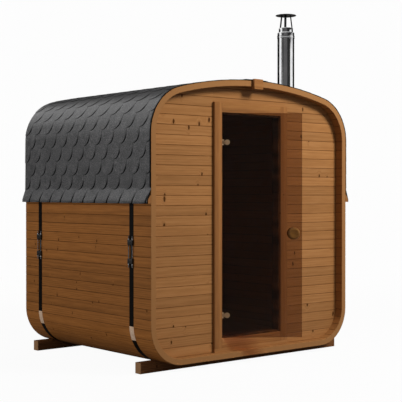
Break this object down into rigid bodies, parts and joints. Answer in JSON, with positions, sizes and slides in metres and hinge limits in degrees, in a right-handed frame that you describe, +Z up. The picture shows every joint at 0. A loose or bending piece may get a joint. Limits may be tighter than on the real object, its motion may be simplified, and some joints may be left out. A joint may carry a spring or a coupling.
{
  "type": "cube sauna",
  "caption": "Outdoor sauna: rounded tube of wooden staves on two runners, shingle roof, steel hoops, flue, and a glass door on hinges in a recessed front wall.",
  "frame": {"origin": "middle of the front runner's underside, on the floor", "axes": "+X to the right along the front, +Y from the front to the back, +Z up"},
  "size_m": [2.172, 2.1196, 2.8813],
  "materials": {
    "runner_wood": "dark stained timber",
    "stave_wood": "oiled heat-treated boards",
    "wall_wood": "oiled heat-treated boards",
    "trim_wood": "planed boards",
    "hinge_steel": "brushed",
    "bronze_glass": "bronze-tinted, clear",
    "knob_wood": "turned, oiled",
    "hoop_steel": "black, glossy",
    "tensioner_steel": "zinc-plated",
    "shingle": "mineral-surfaced bitumen, matt",
    "flue_steel": "polished stainless",
    "collar_sheet": "mill finish",
    "cap_sheet": "dark, satin"
  },
  "bodies": {
    "house": {"runner_front": "runner_wood", "runner_back": "runner_wood", "floor_staves": "stave_wood", "base_corner_left": "stave_wood", "base_corner_right": "stave_wood", "side_staves_left": "stave_wood", "side_staves_right": "stave_wood", "shoulder_left": "stave_wood", "shoulder_right": "stave_wood", "crown_left": "stave_wood", "crown_right": "stave_wood", "front_wall_left": "wall_wood", "front_wall_right": "wall_wood", "front_wall_head": "wall_wood", "front_wall_foot": "wall_wood", "back_wall": "wall_wood", "door_post_left": "trim_wood", "door_post_right": "trim_wood", "door_head": "trim_wood", "door_sill": "trim_wood", "eave_batten_left": "trim_wood", "eave_batten_right": "trim_wood", "ridge_block_front": "trim_wood", "ridge_block_back": "trim_wood", "hinge_brackets": "hinge_steel", "hoop_front": "hoop_steel", "hoop_back": "hoop_steel", "tensioner_front_left": "tensioner_steel", "tensioner_front_right": "tensioner_steel", "tensioner_back_left": "tensioner_steel", "tensioner_back_right": "tensioner_steel", "shingles_left": "shingle", "shingles_right": "shingle", "flue_pipe": "flue_steel", "flue_band": "flue_steel", "flue_collar": "collar_sheet", "rain_cap": "cap_sheet"},
    "door": {"door_glass": "bronze_glass", "hinge_clamps": "hinge_steel", "door_knobs": "knob_wood"}
  },
  "joints": [
    {"name": "door_hinge", "type": "hinge", "parent": "house", "child": "door", "pos_m": [-0.3035, -0.1035, 1.053], "axis": [0, 0, -1], "range_deg": [-37, 53]}
  ]
}
